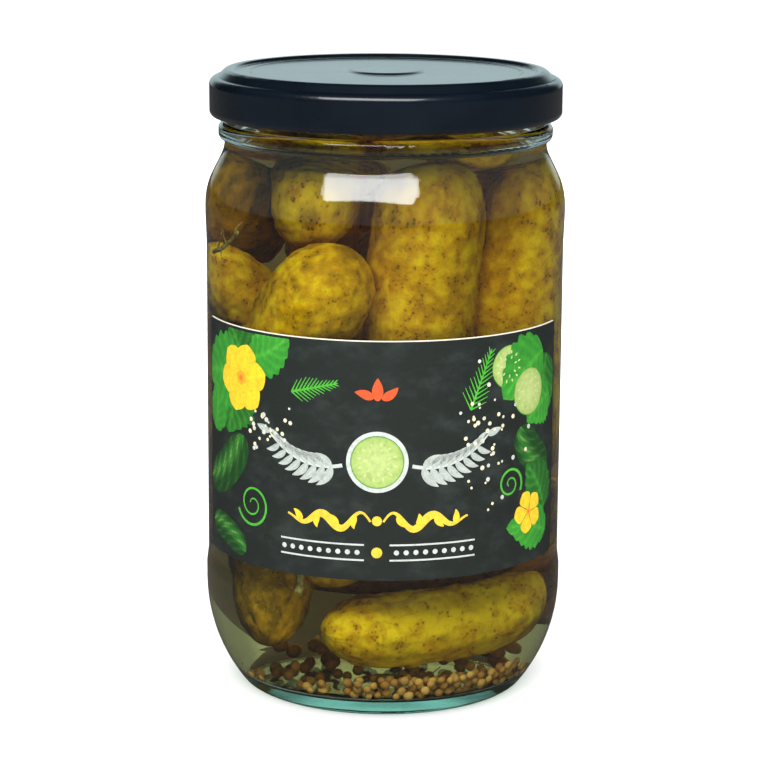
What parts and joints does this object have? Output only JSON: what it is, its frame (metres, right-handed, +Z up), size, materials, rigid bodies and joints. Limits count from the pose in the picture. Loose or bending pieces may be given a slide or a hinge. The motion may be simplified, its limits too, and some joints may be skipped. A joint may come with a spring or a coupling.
{
  "type": "pickle jar",
  "caption": "Clear glass grocery jar of whole pickles in brine with a dark steel twist-off lid and a wrapped paper label.",
  "frame": {"origin": "on the jar's axis, at the plane the jar stands on", "axes": "+Z up along the jar's axis; the middle of the label faces -Y; +X is to the right of the label"},
  "size_m": [0.0878, 0.0876, 0.1515],
  "materials": {
    "jar_glass": "clear, gloss",
    "contents": "stands in for pickles in brine",
    "lid_steel": "dark navy lacquer, gloss",
    "label_paper": "coated paper, satin"
  },
  "bodies": {
    "root": {"glass_jar": "jar_glass", "brine": "contents", "lid": "lid_steel", "label": "label_paper"}
  },
  "joints": []
}
